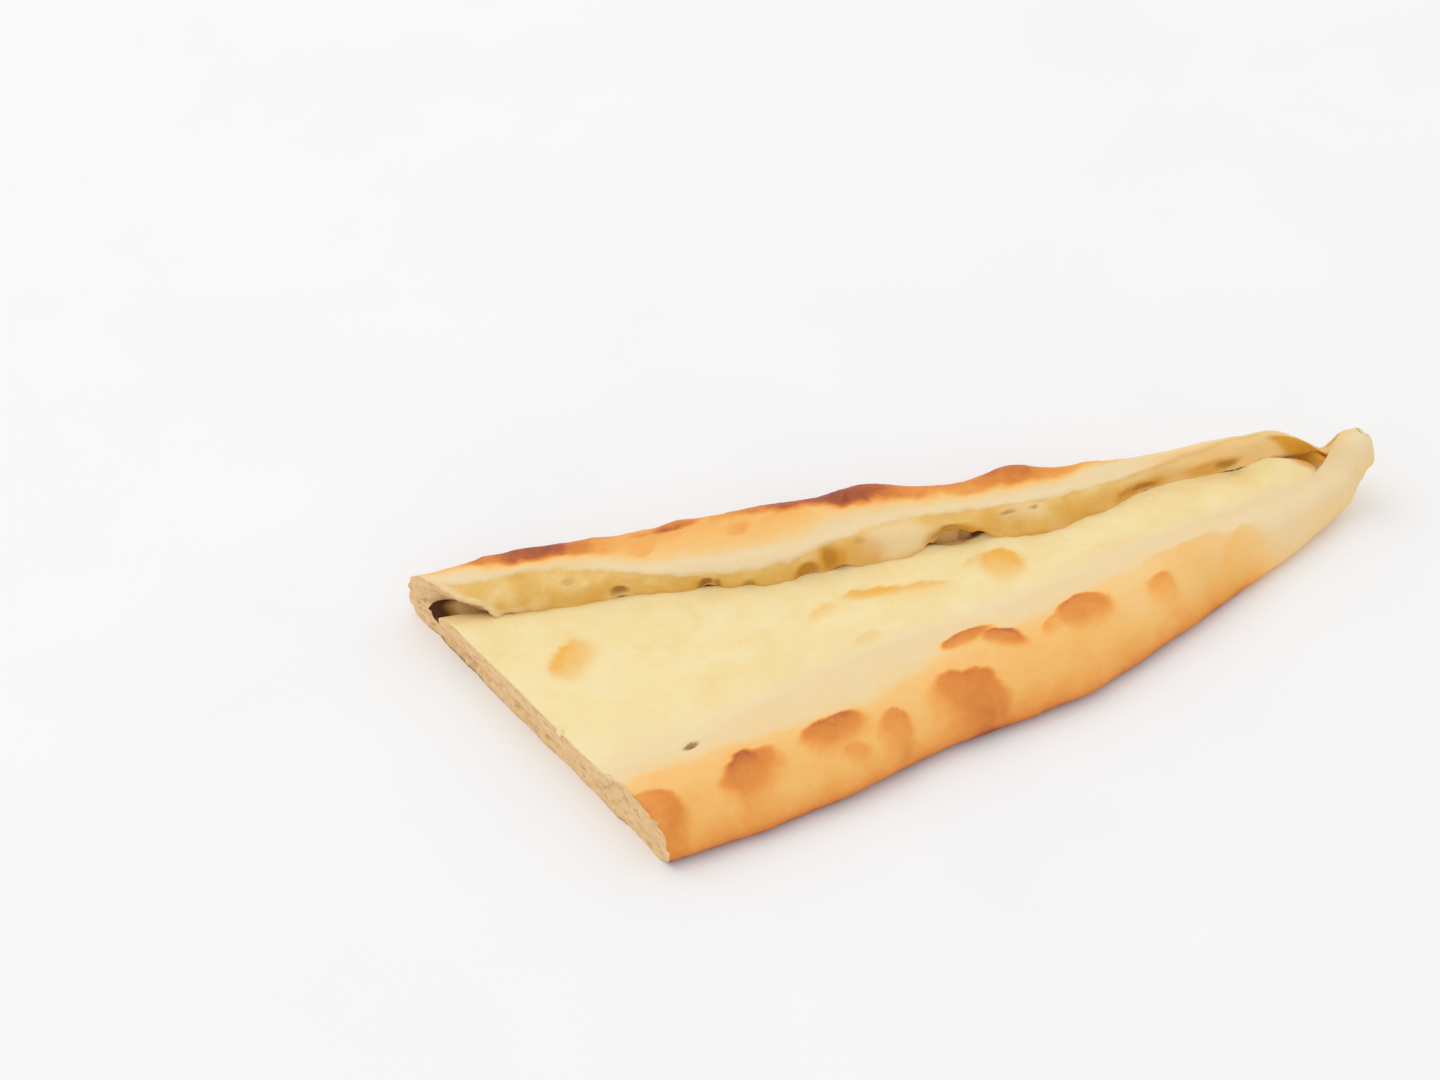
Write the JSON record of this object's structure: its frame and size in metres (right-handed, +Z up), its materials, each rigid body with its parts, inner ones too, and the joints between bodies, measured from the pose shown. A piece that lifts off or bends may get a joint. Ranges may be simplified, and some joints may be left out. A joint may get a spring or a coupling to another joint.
{
  "type": "cream cheese pastry",
  "caption": "Half of a boat-shaped flatbread pastry with folded edges, a cream cheese filled trough, a pinched tip and a slanted cut end.",
  "frame": {"origin": "centre of the bounding box's bottom face, on the surface that the pastry lies on", "axes": "+X from the cut end to the pinched tip, +Y across to the taller fold, +Z up"},
  "size_m": [0.2286, 0.1028, 0.021],
  "materials": {
    "dough": "matte",
    "cheese": "satin"
  },
  "bodies": {
    "root": {"dough_boat": "dough", "cheese_filling": "cheese"}
  },
  "joints": []
}
